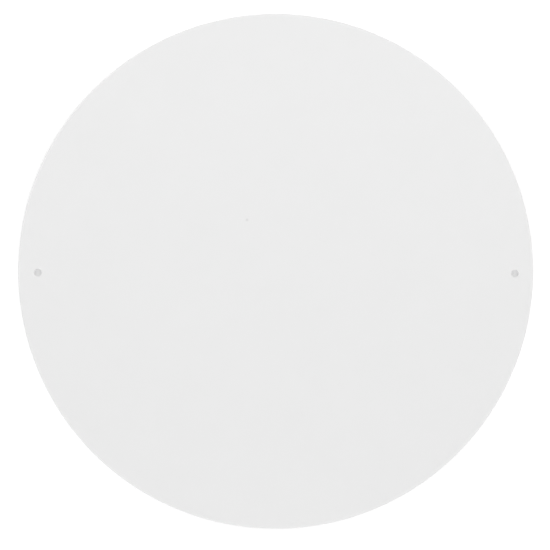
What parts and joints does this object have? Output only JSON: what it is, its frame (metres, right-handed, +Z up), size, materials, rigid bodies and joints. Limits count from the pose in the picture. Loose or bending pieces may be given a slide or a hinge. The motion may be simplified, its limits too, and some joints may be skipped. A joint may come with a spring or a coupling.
{
  "type": "circle template",
  "caption": "Flat round drawing template cut from opaque white plastic sheet, traced round its rim, with a small fixing hole near each end of one diameter.",
  "frame": {"origin": "middle of the disc's underside, on the surface it lies on", "axes": "+X along the line of the fixing holes, +Y across that line in the sheet's plane, +Z up out of the upper face"},
  "size_m": [0.3, 0.3, 0.003],
  "materials": {
    "white_plastic_sheet": "opaque neutral white, satin skin, machined edge"
  },
  "bodies": {
    "root": {"template_disc": "white_plastic_sheet"}
  },
  "joints": []
}
